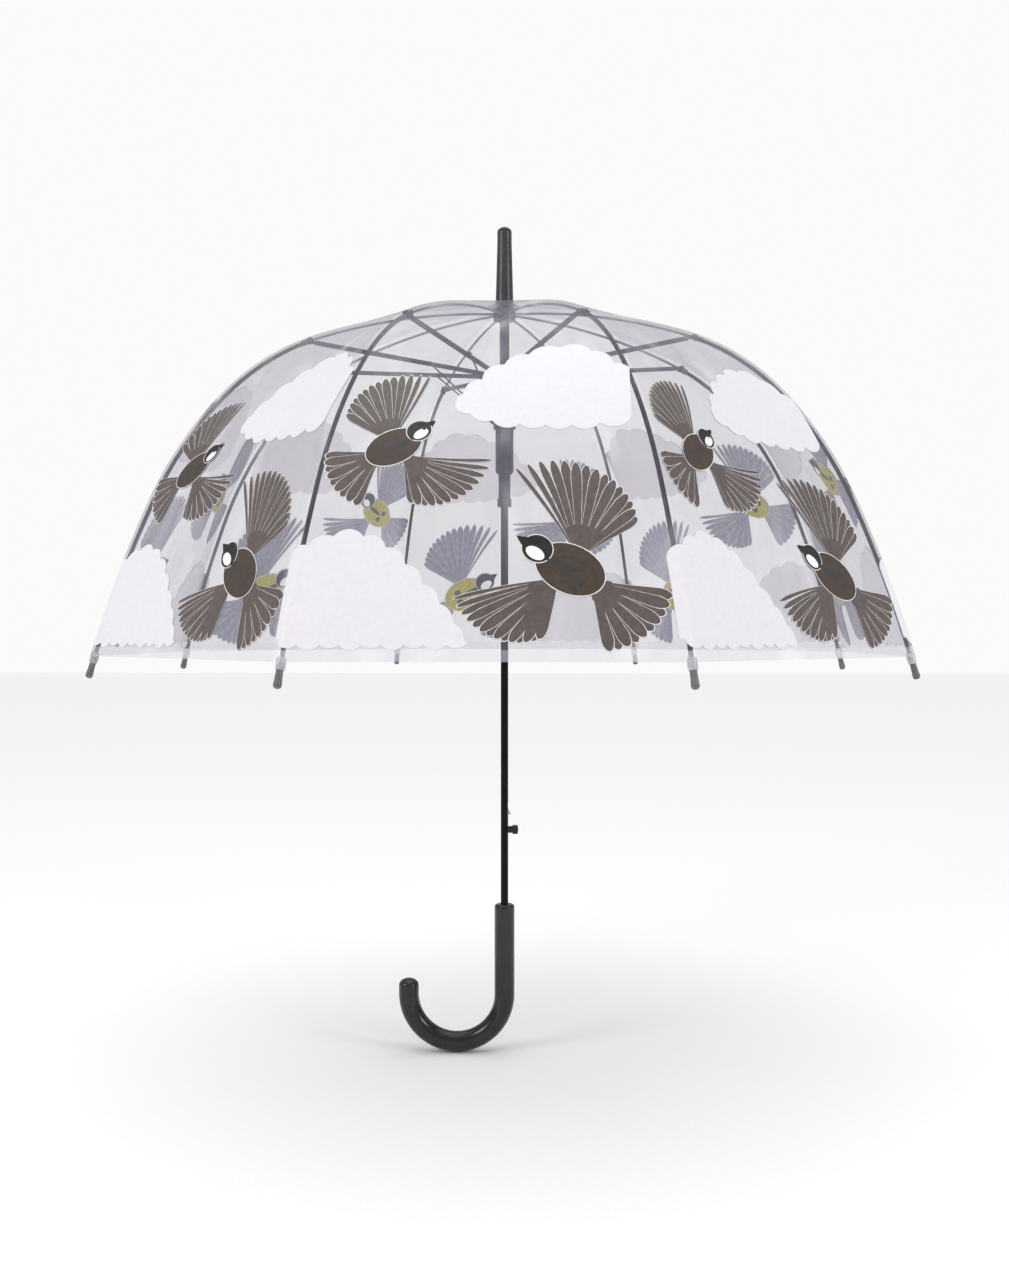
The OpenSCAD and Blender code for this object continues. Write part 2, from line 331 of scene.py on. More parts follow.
@dataclass(frozen=True)
class Ink:
    """Printing ink on film: nearly flat colour with a faint mottle, a soft gloss."""

    name: str
    colour: Colour
    mottle: float = 0.14
    roughness: float = 0.42

    def material(self) -> bpy.types.Material:
        """Builds the finish.

        Returns:
            The material.
        """
        sheet = NodeSheet(self.name)
        dark = tuple(part * (1 - self.mottle) for part in self.colour)
        light = tuple(min(1.0, part * (1 + self.mottle)) for part in self.colour)
        sheet.blend(sheet.grain(240.0, 4.0), dark, light)
        pattern = sheet.grain(60.0, 2.0)
        sheet.link(sheet.ranged(pattern, self.roughness - 0.06, self.roughness + 0.06),
                   sheet.shader.inputs["Roughness"])
        sheet.bumped(sheet.grain(900.0, 2.0), 0.1, 0.0002)
        return sheet.material


FINISHES = {
    "tube": Moulded("black_tube", (0.004, 0.004, 0.005), (0.008, 0.008, 0.010), 0.3,
                    coat=0.04, shine=0.08),
    "ferrule": Moulded("ferrule_grey", (0.040, 0.040, 0.044), (0.056, 0.056, 0.061), 0.3,
                       coat=0.12),
    "handle": Moulded("handle_gloss", (0.012, 0.012, 0.014), (0.018, 0.018, 0.021), 0.2, 0.05,
                      60.0, 0.05, coat=0.28),
    "fittings": Moulded("crown_blue", (0.030, 0.034, 0.048), (0.046, 0.051, 0.070), 0.34),
    "button": Moulded("button_black", (0.010, 0.010, 0.011), (0.018, 0.018, 0.020), 0.3),
    "runner": Moulded("runner_navy", (0.014, 0.016, 0.025), (0.024, 0.027, 0.040), 0.26,
                      coat=0.16),
    "housing": Moulded("housing_fluted", (0.014, 0.016, 0.025), (0.026, 0.029, 0.043), 0.28,
                       coat=0.16, flutes=12),
    "steel": Moulded("spring_steel", (0.32, 0.32, 0.34), (0.45, 0.45, 0.47), 0.3, metallic=1.0),
    "strut": Moulded("strut_paint", (0.034, 0.040, 0.058), (0.055, 0.063, 0.086), 0.38,
                     metallic=0.3),
    "rib_wire": Moulded("wire_grey", (0.16, 0.17, 0.21), (0.24, 0.25, 0.30), 0.36, metallic=0.3),
    "rib_rod": Moulded("rod_black", (0.008, 0.009, 0.012), (0.018, 0.019, 0.024), 0.32,
                       coat=0.08),
    "tip": Moulded("tip_grey", (0.120, 0.115, 0.115), (0.165, 0.158, 0.158), 0.36, coat=0.08),
    # Each film finish's second colour is the pale painted highlight laid in streaks.
    "film": Film("clear_film", (0.36, 0.345, 0.42), (0.90, 0.89, 0.95), 0.22, 0.14, 0.42, 0.08,
                 0.4),
    "weld": Film("weld_film", (0.24, 0.23, 0.28), (0.90, 0.89, 0.95), 0.14, 0.10, 0.3, 0.14, 0.5),
    "hem": Film("hem_film", (0.62, 0.61, 0.68), (0.95, 0.94, 0.97), 0.40, 0.22, 0.3, 0.14, 0.6),
    "cloud": Ink("cloud_white", (0.80, 0.775, 0.82), 0.02, 0.45),
    "wing_outer": Ink("wing_taupe", (0.106, 0.086, 0.082)),
    "body_outer": Ink("body_brown", (0.058, 0.038, 0.028)),
    "line_outer": Ink("line_pale", (0.78, 0.75, 0.74)),
    "wing_inner": Ink("wing_slate", (0.27, 0.27, 0.34)),
    "body_inner": Ink("body_olive", (0.42, 0.37, 0.045)),
    "line_inner": Ink("line_grey", (0.62, 0.62, 0.67)),
    "mark": Ink("ink_slate", (0.040, 0.038, 0.040)),
    "dark": Ink("ink_black", (0.010, 0.010, 0.012)),
    "cheek": Ink("ink_white", (0.90, 0.90, 0.90), 0.03),
    "floor": Ink("floor_white", (0.93, 0.93, 0.93), 0.01, 0.9),
}
_made: dict[str, bpy.types.Material] = {}


def finish(name: str) -> bpy.types.Material:
    """The named finish's material, made once.

    Args:
        name: A key of FINISHES.

    Returns:
        The material.
    """
    if name not in _made:
        _made[name] = FINISHES[name].material()
    return _made[name]


# ---- Meshes ----


@dataclass
class Patch:
    """Points and faces that become one mesh, with a finish for each face."""

    points: list[Vector] = field(default_factory=list)
    faces: list[Face] = field(default_factory=list)
    inks: list[str] = field(default_factory=list)

    def grid(self, rows: list[list[Vector]], ink: str, closed: bool = False) -> None:
        """Adds rows of points joined by quads.

        Args:
            rows: The rows, all of one length.
            ink: The finish of its faces.
            closed: Whether each row's end joins its start.
        """
        start, width = len(self.points), len(rows[0])
        for row in rows:
            self.points.extend(row)
        for i in range(len(rows) - 1):
            for j in range(width if closed else width - 1):
                a, b = start + i * width + j, start + i * width + (j + 1) % width
                self.faces.append((a, b, b + width, a + width))
                self.inks.append(ink)

    def fan(self, centre: Vector, ring: list[Vector], ink: str) -> None:
        """Adds a closed ring of points joined to a centre.

        Args:
            centre: The middle point.
            ring: The points round it.
            ink: The finish of its faces.
        """
        start = len(self.points)
        self.points.append(centre)
        self.points.extend(ring)
        count = len(ring)
        for j in range(count):
            self.faces.append((start, start + 1 + j, start + 1 + (j + 1) % count))
            self.inks.append(ink)

    def build(self, name: str) -> bpy.types.Object:
        """Makes the object, shaded smooth.

        Args:
            name: The piece's name.

        Returns:
            The object, linked to the scene.
        """
        mesh = bpy.data.meshes.new(name)
        mesh.from_pydata([tuple(point) for point in self.points], [], self.faces)
        order = sorted(set(self.inks))
        for ink in order:
            mesh.materials.append(finish(ink))
        slots = [order.index(ink) for ink in self.inks]
        mesh.polygons.foreach_set("material_index", slots)
        mesh.polygons.foreach_set("use_smooth", [True] * len(self.faces))
        mesh.update()
        return stand(name, mesh)


# ---- The dome's shape ----


@dataclass(frozen=True)
class RibCurve:
    """A rib's centreline in its own plane: radius from the shaft and height, in metres."""

    crown: Point2 = (0.008, 0.634)
    knee: Point2 = (0.197, 0.5935)
    heading: float = -23.5
    arcs: tuple[tuple[float, float], ...] = ((0.234, 24.5), (0.372, 18.5), (1.161, 7.5))
    bulge: float = 0.008
    apex: tuple[Point2, ...] = ((0.0052, 0.6410), (0.0140, 0.6407))
    film_gap: float = 0.004
    shoulders: tuple[float, ...] = (0.22, 0.41, 0.6, 0.8)
    past_knee: float = 0.03

    @staticmethod
    def ahead(angle: float) -> Point2:
        """A unit step on a heading in degrees."""
        return math.cos(math.radians(angle)), math.sin(math.radians(angle))

    def on_arc(self, start: Point2, heading: float, radius: float, turn: float,
               gap: float) -> Point2:
        """A point on an arc that turns downwards.

        Args:
            start: The arc's first point.
            heading: Its first heading in degrees.
            radius: Its radius.
            turn: How far it has turned, in degrees.
            gap: How far outside the arc the point lies.

        Returns:
            The point.
        """
        first, now = self.ahead(heading + 90), self.ahead(heading + 90 - turn)
        return (start[0] - radius * first[0] + (radius + gap) * now[0],
                start[1] - radius * first[1] + (radius + gap) * now[1])

    def rod_length(self) -> float:
        """The length of the rod below the knee."""
        return sum(radius * math.radians(turn) for radius, turn in self.arcs)

    def lower(self, length: float, gap: float) -> Point2:
        """A point below the knee.

        Args:
            length: The length of rod from the knee.
            gap: How far outside the rod's centreline the point lies.

        Returns:
            The point.
        """
        start, heading = self.knee, self.heading
        for radius, turn in self.arcs[:-1]:
            span = radius * math.radians(turn)
            if length <= span:
                return self.on_arc(start, heading, radius, math.degrees(length / radius), gap)
            start = self.on_arc(start, heading, radius, turn, 0.0)
            heading -= turn
            length -= span
        radius = self.arcs[-1][0]
        return self.on_arc(start, heading, radius, math.degrees(length / radius), gap)

    def upper_mark(self, share: float, gap: float) -> Point2:
        """A point on the upper wire's arc.

        Args:
            share: The share of the way from the crown to the knee.
            gap: How far outside the wire's centreline the point lies.

        Returns:
            The point.
        """
        dx, dz = self.knee[0] - self.crown[0], self.knee[1] - self.crown[1]
        chord = math.hypot(dx, dz)
        turn = 4 * math.degrees(math.atan(2 * self.bulge / chord))
        radius = chord / 2 / math.sin(math.radians(turn / 2))
        heading = math.degrees(math.atan2(dz, dx)) + turn / 2
        return self.on_arc(self.crown, heading, radius, share * turn, gap)

    def upper(self, steps: int, gap: float) -> list[Point2]:
        """The film's section from the apex to the knee ring.

        Args:
            steps: The rows between two marks.
            gap: How far outside the centreline the film lies.

        Returns:
            The points, from the apex outwards.
        """
        lift = gap - self.film_gap
        marks = [(r, z + lift) for r, z in self.apex]
        marks += [self.upper_mark(share, gap) for share in self.shoulders]
        marks.append(self.lower(0.0, gap))
        beyond = self.lower(self.past_knee, gap)
        ends = [(2 * marks[0][0] - marks[1][0], marks[0][1]), *marks, beyond]
        points = []
        for i in range(1, len(marks)):
            for step in range(steps):
                points.append(self.spline(ends[i - 1:i + 3], step / steps))
        points.append(marks[-1])
        return points

    @staticmethod
    def spline(marks: list[Point2], share: float) -> Point2:
        """A smooth curve's point between the second and third of four marks.

        Args:
            marks: Four marks in order.
            share: The share of the way between the middle two.

        Returns:
            The point.
        """
        p0, p1, p2, p3 = (Vector(mark) for mark in marks)
        s = share
        point = 0.5 * (2 * p1 + (p2 - p0) * s + (2 * p0 - 5 * p1 + 4 * p2 - p3) * s ** 2
                       + (3 * p1 - p0 - 3 * p2 + p3) * s ** 3)
        return point.x, point.y


CURVE = RibCurve()


def rib_azimuth(number: int) -> float:
    """The direction of a rib from the shaft, in radians."""
    return HALF_PITCH + (number - 1) * PITCH


def wrapped(number: int) -> int:
    """A rib's or gore's number brought back into 1 to RIB_COUNT."""
    return (number - 1) % RIB_COUNT + 1


@dataclass(frozen=True)
class Dome:
    """The film's surface: flat chords between the ribs that sag a little and ripple."""

    sag: float = 0.004
    ripple: float = 0.0006
    ripple_scale: float = 14.0
    upright: float = 0.6
    full_radius: float = 0.2
    calm_edges: float = 4.0

    def place(self, gore: int, across: float, mark: Point2) -> Vector:
        """A point of a gore's surface.

        Args:
            gore: The gore's number; it lies between its own rib and the next.
            across: The distance from its middle line, to the right as seen from outside.
            mark: The ribs' section there: radius and height.

        Returns:
            The point in the row's frame.
        """
        radius, height = mark
        half = radius * SIN_HALF
        over = abs(across) - half
        if over > 0:
            turn = 1 if across > 0 else -1
            return self.place(gore + turn, -turn * (half - over), mark)
        middle = gore * PITCH
        out = Vector((math.cos(middle), math.sin(middle), 0.0))
        side = Vector((-out.y, out.x, 0.0))
        fullness = min(1.0, radius / self.full_radius)
        depth = self.sag * fullness * (1 - (across / half) ** 2)
        point = out * (radius * COS_HALF - depth) + side * across
        point.z = height
        spot = Vector((point.x, point.y, point.z * self.upright))
        wave = noise.noise(spot * self.ripple_scale)
        edge = min(1.0, (1 - abs(across) / half) * self.calm_edges)
        return point + out * (self.ripple * wave * edge * fullness)

    def printed(self, gore: int, across: float, down: float, layer: float) -> Vector:
        """A point of a print below the knee ring.

        Args:
            gore: The gore's number.
            across: The distance from its middle line, to the right as seen from outside.
            down: The length down the rib from the knee.
            layer: The distance outside the film, negative inside it.

        Returns:
            The point in the row's frame.
        """
        return self.place(gore, across, CURVE.lower(down, CURVE.film_gap + layer))


DOME = Dome()


def fold(piece: bpy.types.Object) -> None:
    """Gives a piece of the canopy its own copy of its mesh.

    Args:
        piece: The piece.
    """
    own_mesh(piece)


# ---- Canopy ----


@dataclass
class Canopy:
    """The film over each rib, from the middle of one gore to the middle of the next."""

    columns: int = 12
    weld_half: float = 0.004
    hem_width: float = 0.009
    upper_steps: int = 4
    row_length: float = 0.0125
    hem_end: float = 0.985
    hem_rows: int = 2

    def offsets(self, half: float) -> list[float]:
        """Distances from the ridge to the gore's middle, with one at the weld's edge.

        Args:
            half: The half gore's width.

        Returns:
            The distances in order.
        """
        weld = min(self.weld_half, 0.45 * half)
        count = self.columns
        return [0.0] + [weld + (half - weld) * j / count for j in range(count + 1)]

    def row(self, rib: int, mark: Point2) -> list[Vector]:
        """One row of the film across a rib.

        Args:
            rib: The rib's number.
            mark: The section's radius and height.

        Returns:
            The row's points, counter-clockwise.
        """
        half = mark[0] * SIN_HALF
        steps = self.offsets(half)
        left = [DOME.place(rib - 1, half - step, mark) for step in reversed(steps[1:])]
        right = [DOME.place(rib, step - half, mark) for step in steps]
        return left + right

    def sheet(self, name: str, rib: int, marks: list[Point2], hem_rows: int) -> bpy.types.Object:
        """Builds one sheet of film.

        Args:
            name: The piece's name.
            rib: The rib it lies on.
            marks: The section's points.
            hem_rows: How many of the last rows are the hem.

        Returns:
            The piece.
        """
        rows = [self.row(rib, mark) for mark in marks]
        patch = Patch()
        patch.grid(rows, "film")
        width = len(rows[0]) - 1
        centre = width // 2
        for index in range(len(patch.faces)):
            line, column = divmod(index, width)
            if line >= len(rows) - 1 - hem_rows:
                patch.inks[index] = "hem"
            elif column in (centre - 1, centre):
                patch.inks[index] = "weld"
        return patch.build(name)

    @staticmethod
    def measure(piece: bpy.types.Object) -> float:
        """The piece's area in square metres."""
        return sum(polygon.area for polygon in piece.data.polygons)

    def build(self) -> None:
        upper_marks = CURVE.upper(self.upper_steps, CURVE.film_gap)
        radius, turn = CURVE.arcs[-1]
        total = CURVE.rod_length() - radius * math.radians(turn) * (1 - self.hem_end)
        body = total - self.hem_width
        count = round(body / self.row_length)
        lengths = [body * i / count for i in range(count + 1)]
        lengths += [body + self.hem_width / 2, total]
        lower_marks = [CURVE.lower(length, CURVE.film_gap) for length in lengths]
        for rib in range(1, RIB_COUNT + 1):
            self.one(f"canopy_upper_{rib}", rib, upper_marks, 0, f"link_{rib}")
            self.one(f"canopy_lower_{rib}", rib, lower_marks, self.hem_rows, f"rod_{rib}")

    def one(self, name: str, rib: int, marks: list[Point2], hem_rows: int, body: str) -> None:
        """Makes and hangs one sheet.

        Args:
            name: The piece's name.
            rib: The rib it lies on.
            marks: The section's points.
            hem_rows: How many of the last rows are the hem.
            body: The body it rides on.
        """
        piece = self.sheet(name, rib, marks, hem_rows)
        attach(piece, body)
        fold(piece)
        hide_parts(f"gore_{rib}")
        length = sum(math.dist(a, b) for a, b in zip(marks, marks[1:]))


# ---- Print ----


@dataclass(frozen=True)
class Feathers:
    """A fan of feathers: its root from the body's middle, its middle heading and its spread.

    The first feathers, at the leading edge, are thin, and an arm covers the roots.
    """

    root: Point2
    heading: float
    spread: float
    count: int
    length: float
    width: float
    last: float = 0.62
    curl: float = 16.0
    wisps: int = 4
    arm: float = 0.3


@dataclass(frozen=True)
class Bird:
    """A small flying bird in flat colours, drawn in the gore's own plane, in metres."""

    name: str
    half: Half
    centre: Point2
    body: Point2
    tilt: float
    head: Point2
    head_radius: float
    beak: float
    wings: tuple[Feathers, ...]
    gap: float = 0.0008
    layer: float = 0.00030
    step: float = 0.00005
    bars: tuple[tuple[float, ...], ...] = ((0.30, 0.0, 0.52, 0.15), (-0.38, 0.30, 0.15, 0.20),
                                           (-0.30, -0.34, 0.15, 0.20))
    head_flat: float = 0.92

    def draw(self, patch: Patch, gore: int, side: Side) -> None:
        """Adds the bird to a mesh, on one face of the film.

        Args:
            patch: The mesh to add to.
            gore: The gore it is printed on.
            side: The face of the film.
        """
        pen = Pen(patch, gore, self.centre, side, self.layer, self.step)
        for wing in self.wings:
            self.spread_wing(pen, wing)
        pen.level = 5
        rim = self.body[0] + self.gap, self.body[1] + self.gap
        pen.oval((0.0, 0.0), rim, self.tilt, "line")
        pen.level = 6
        pen.oval((0.0, 0.0), self.body, self.tilt, "body")
        pen.level = 7
        long_way = math.radians(self.tilt)
        for along, beside, size, girth in self.bars:
            spot = turned(self.body[0] * along, self.body[1] * beside, long_way)
            radii = self.body[0] * size, self.body[1] * girth
            pen.oval(spot, radii, self.tilt + beside * 40, "mark")
        self.draw_head(pen)

    def spread_wing(self, pen: "Pen", wing: Feathers) -> None:
        """Draws one fan of feathers, each over a paler, slightly larger one.

        Args:
            pen: The pen to draw with.
            wing: The fan.
        """
        for index in range(wing.count):
            share = index / (wing.count - 1)
            heading = wing.heading + (0.5 - share) * wing.spread
            length = wing.length * (1 - (1 - wing.last) * share ** 1.3)
            thin = 0.4 + 0.15 * index if index < wing.wisps else 1.0
            curl = wing.curl * (0.6 - share)
            pen.level = 2 * (index % 2)
            width = wing.width * thin
            pen.leaf(wing.root, heading, length + self.gap, width + self.gap, curl, "line")
            pen.level += 1
            pen.leaf(wing.root, heading, length, width, curl, "wing")
        pen.level = 4
        for turn in (-0.22, 0.0, 0.22):
            pen.leaf(wing.root, wing.heading + turn * wing.spread, wing.length * wing.arm,
                     wing.width * 1.6, 0.0, "wing")

    def draw_head(self, pen: "Pen") -> None:
        """Draws the head, its pale cheek and the beak.

        Args:
            pen: The pen to draw with.
        """
        round_way, flat_way = self.head_radius, self.head_radius * self.head_flat
        away = math.atan2(self.head[1], self.head[0])
        tilt = math.degrees(away)

        pen.level = 7
        pen.oval(self.head, (round_way + self.gap, flat_way + self.gap), tilt, "line")
        pen.level = 8
        pen.oval(self.head, (round_way, flat_way), tilt, "dark")
        tip = stepped(self.head, round_way + self.beak, away)
        pen.wedge(tip, self.head, round_way * 0.8, "dark")
        pen.level = 9
        low = away - math.copysign(math.radians(100), math.cos(away))
        cheek = stepped(self.head, round_way * 0.34, low)
        pen.oval(cheek, (round_way * 0.66, round_way * 0.40), tilt, "cheek")
        pen.level = 10
        eye = stepped(self.head, round_way * 0.42, away - 0.3)
        pen.oval(eye, (round_way * 0.11, round_way * 0.11), 0.0, "dark")


@dataclass
class Pen:
    """Draws flat shapes on the film, on one face and one layer above another."""

    patch: Patch
    gore: int
    centre: Point2
    side: Side
    layer: float
    step: float
    level: int = 0
    oval_points: int = 28
    leaf_steps: int = 13
    widest: float = 0.82

    def ink(self, part: str) -> str:
        """The finish of a part on this face of the film."""
        return part if part in ("dark", "mark", "cheek") else f"{part}_{self.side.value}"

    def at(self, spot: Point2) -> Vector:
        """A point of the drawing on the film.

        Args:
            spot: The place from the drawing's middle: to the right, and up.

        Returns:
            The point in the row's frame.
        """
        height = self.layer + self.level * self.step
        outside = height if self.side is Side.OUTER else -height
        return DOME.printed(self.gore, self.centre[0] + spot[0], self.centre[1] - spot[1],
                            outside)

    def oval(self, middle: Point2, radii: Point2, tilt: float, part: str) -> None:
        """An ellipse.

        Args:
            middle: Its middle.
            radii: Its half axes.
            tilt: The first axis's angle in degrees.
            part: The part it belongs to.
        """
        rings = []
        for share in (0.5, 1.0):
            ring = []
            for j in range(self.oval_points):
                angle = 2 * math.pi * j / self.oval_points
                x, y = turned(radii[0] * share * math.cos(angle),
                              radii[1] * share * math.sin(angle), math.radians(tilt))
                ring.append(self.at((middle[0] + x, middle[1] + y)))
            rings.append(ring)
        self.patch.fan(self.at(middle), rings[0], self.ink(part))
        self.patch.grid(rings, self.ink(part), closed=True)

    def leaf(self, root: Point2, heading: float, length: float, width: float, curl: float,
             part: str) -> None:
        """One feather: narrow at its root, widest past the middle, with a round end.

        Args:
            root: Where it starts.
            heading: Its first heading in degrees.
            length: Its length.
            width: Its greatest width.
            curl: How far it turns along its length, in degrees.
            part: The part it belongs to.
        """
        steps, widest = self.leaf_steps, self.widest
        shares = [1 - (1 - j / steps) ** 1.6 for j in range(steps + 1)]
        x, y = root
        rows = []
        for share, after in zip(shares, shares[1:] + [1.0]):
            angle = math.radians(heading + curl * share)
            swell = 0.26 + 0.74 * share / widest
            if share > widest:
                swell = math.sqrt(max(0.0, 1 - ((share - widest) / (1 - widest)) ** 2))
            half = width / 2 * max(swell, 0.04)
            nx, ny = -math.sin(angle) * half, math.cos(angle) * half
            rows.append([self.at((x + nx, y + ny)), self.at((x, y)), self.at((x - nx, y - ny))])
            x, y = stepped((x, y), length * (after - share), angle)
        self.patch.grid(rows, self.ink(part))

    def wedge(self, tip: Point2, middle: Point2, base: float, part: str) -> None:
        """A narrow triangle, such as a beak.

        Args:
            tip: Its point.
            middle: The middle of its base.
            base: Half the base's width.
            part: The part it belongs to.
        """
        away = math.atan2(tip[1] - middle[1], tip[0] - middle[0])
        nx, ny = -math.sin(away) * base, math.cos(away) * base
        left, right = (middle[0] + nx, middle[1] + ny), (middle[0] - nx, middle[1] - ny)
        self.patch.fan(self.at(middle), [self.at(left), self.at(right), self.at(tip)],
                       self.ink(part))


@dataclass(frozen=True)
class Cloud:
    """A white cloud with a scalloped edge, between two edges over its width, in metres."""

    name: str
    half: Half
    left: float
    right: float
    puffs: tuple[Scallop, ...]
    base: tuple[Scallop, ...]
    floor: float
    past_rib: float = 0.0
    column: float = 0.0012
    rows: int = 12
    layer: float = 0.00024

    def edge(self, across: float, circles: tuple[Scallop, ...], upward: bool) -> float:
        """The scalloped edge at one place.

        Args:
            across: The distance from the gore's middle line.
            circles: The scallops: middle across, middle down and radius.
            upward: Whether it is the upper edge.

        Returns:
            The length down the rib where the edge lies.
        """
        found = []
        for middle, down, radius in circles:
            reach = radius ** 2 - (across - middle) ** 2
            if reach > 0:
                found.append(down - math.sqrt(reach) if upward else down + math.sqrt(reach))
        if not found:
            return self.floor
        return min(found) if upward else max(found)

    def fitted(self, across: float, down: float) -> float:
        """Stretches a place so that the cloud's left edge stays just past the rib.

        Args:
            across: The distance from the gore's middle line, as drawn.
            down: The length down the rib from the knee.

        Returns:
            The distance from the middle line on the film.
        """
        if not self.past_rib:
            return across
        start = -CURVE.lower(down, CURVE.film_gap)[0] * SIN_HALF - self.past_rib
        share = (across - self.left) / (self.right - self.left)
        return start + share * (self.right - start)

    def draw(self, patch: Patch, gore: int) -> None:
        """Adds the cloud to a mesh, on both faces of the film.

        Args:
            patch: The mesh to add to.
            gore: The gore it is printed on.
        """
        count = round((self.right - self.left) / self.column)
        for layer in (self.layer, -self.layer):
            columns = []
            for i in range(count + 1):
                across = self.left + (self.right - self.left) * i / count
                top = self.edge(across, self.puffs, True)
                low = self.edge(across, self.base, False) if self.base else self.floor
                low = max(low, top)
                spots = [top + (low - top) * j / self.rows for j in range(self.rows + 1)]
                columns.append([DOME.printed(gore, self.fitted(across, down), down, layer)
                                for down in spots])
            patch.grid(columns, "cloud")


@dataclass
class Print:
    """The same four motifs on every gore: two birds and two clouds."""

    birds: tuple[Bird, ...] = (
        Bird("bird_rising", Half.LEFT, (-0.074, 0.194), (0.0230, 0.0150), 30.0,
             (0.0190, 0.0150), 0.0098, 0.0062,
             (Feathers((-0.002, 0.006), 106.0, -84.0, 14, 0.072, 0.0070),
              Feathers((-0.010, -0.006), 216.0, 62.0, 9, 0.048, 0.0080, 0.88, 10.0, 0, 0.25),
              Feathers((0.008, -0.008), -42.0, 68.0, 13, 0.068, 0.0072))),
        Bird("bird_gliding", Half.RIGHT, (0.062, 0.298), (0.0275, 0.0190), 152.0,
             (-0.0245, 0.0165), 0.0118, 0.0072,
             (Feathers((0.006, 0.010), 78.0, 80.0, 15, 0.088, 0.0082),
              Feathers((-0.010, -0.008), 222.0, -70.0, 14, 0.078, 0.0080),
              Feathers((0.016, -0.010), -44.0, 62.0, 10, 0.060, 0.0092, 0.92, 8.0, 0, 0.25))))
    clouds: tuple[Cloud, ...] = (
        Cloud("cloud_high", Half.RIGHT, -0.028, 0.110,
              ((-0.018, 0.150, 0.010), (-0.008, 0.138, 0.013), (0.008, 0.122, 0.015),
               (0.026, 0.110, 0.016), (0.046, 0.100, 0.017), (0.066, 0.096, 0.015),
               (0.082, 0.106, 0.015), (0.098, 0.122, 0.015)),
              ((-0.018, 0.152, 0.010), (-0.004, 0.158, 0.012), (0.014, 0.162, 0.014),
               (0.034, 0.163, 0.014), (0.054, 0.164, 0.014), (0.074, 0.164, 0.014),
               (0.096, 0.161, 0.015)), 0.155),
        Cloud("cloud_low", Half.LEFT, -0.1595, -0.0135,
              ((-0.146, 0.292, 0.014), (-0.130, 0.284, 0.014), (-0.112, 0.280, 0.015),
               (-0.094, 0.284, 0.014), (-0.078, 0.294, 0.014), (-0.064, 0.308, 0.014),
               (-0.050, 0.324, 0.014), (-0.038, 0.338, 0.013), (-0.028, 0.352, 0.012),
               (-0.022, 0.360, 0.009)),
              tuple((-0.146 + 0.0155 * j, 0.349 + 0.0015 * (j % 2), 0.0105) for j in range(9)),
              0.352, past_rib=0.009))

    def build(self) -> None:
        """Makes the motifs of every gore."""
        for gore in range(1, RIB_COUNT + 1):
            for bird in self.birds:
                patch = Patch()
                for side in Side:
                    bird.draw(patch, gore, side)
                self.hang(patch, f"{bird.name}_{gore}", gore, bird.half)
            for cloud in self.clouds:
                patch = Patch()
                cloud.draw(patch, gore)
                self.hang(patch, f"{cloud.name}_{gore}", gore, cloud.half)
            LOG.info("print on gore %d", gore)

    @staticmethod
    def hang(patch: Patch, name: str, gore: int, half: Half) -> None:
        """Puts a motif on the rod of its half of the gore.

        Args:
            patch: The motif's mesh.
            name: The piece's name.
            gore: The gore's number.
            half: The half that it belongs to.
        """
        rib = wrapped(gore + half.value)
        piece = patch.build(name)
        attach(piece, f"rod_{rib}")
        fold(piece)


# ---- Frame ----


@dataclass
class Frame:
    """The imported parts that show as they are, each with its own finish."""

    single: dict[str, str] = field(default_factory=lambda: {
        "shaft": "tube", "ferrule": "ferrule", "ferrule_cap": "button", "crown": "fittings",
        "stop_sleeve": "fittings", "handle": "handle", "catch": "steel", "button": "button",
        "runner": "runner", "spring_housing": "housing", "housing_cap": "runner"})
    repeated: dict[str, str] = field(default_factory=lambda: {
        "link": "rib_wire", "rib": "rib_rod", "tip": "tip", "strut": "strut", "wire": "strut"})

    def build(self) -> None:
        """Gives every shown node its finish."""
        for node, coat in self.single.items():
            self.dress(node, coat)
        for stem, coat in self.repeated.items():
            for number in range(1, RIB_COUNT + 1):
                self.dress(f"{stem}_{number}", coat)
            LOG.info("%s: %s", stem, coat)

    @staticmethod
    def dress(node: str, coat: str) -> None:
        """Replaces a node's materials.

        Args:
            node: The node's name.
            coat: The finish's name.
        """
        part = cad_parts[node]
        for slot in part.material_slots:
            slot.link = "OBJECT"
            slot.material = finish(coat)


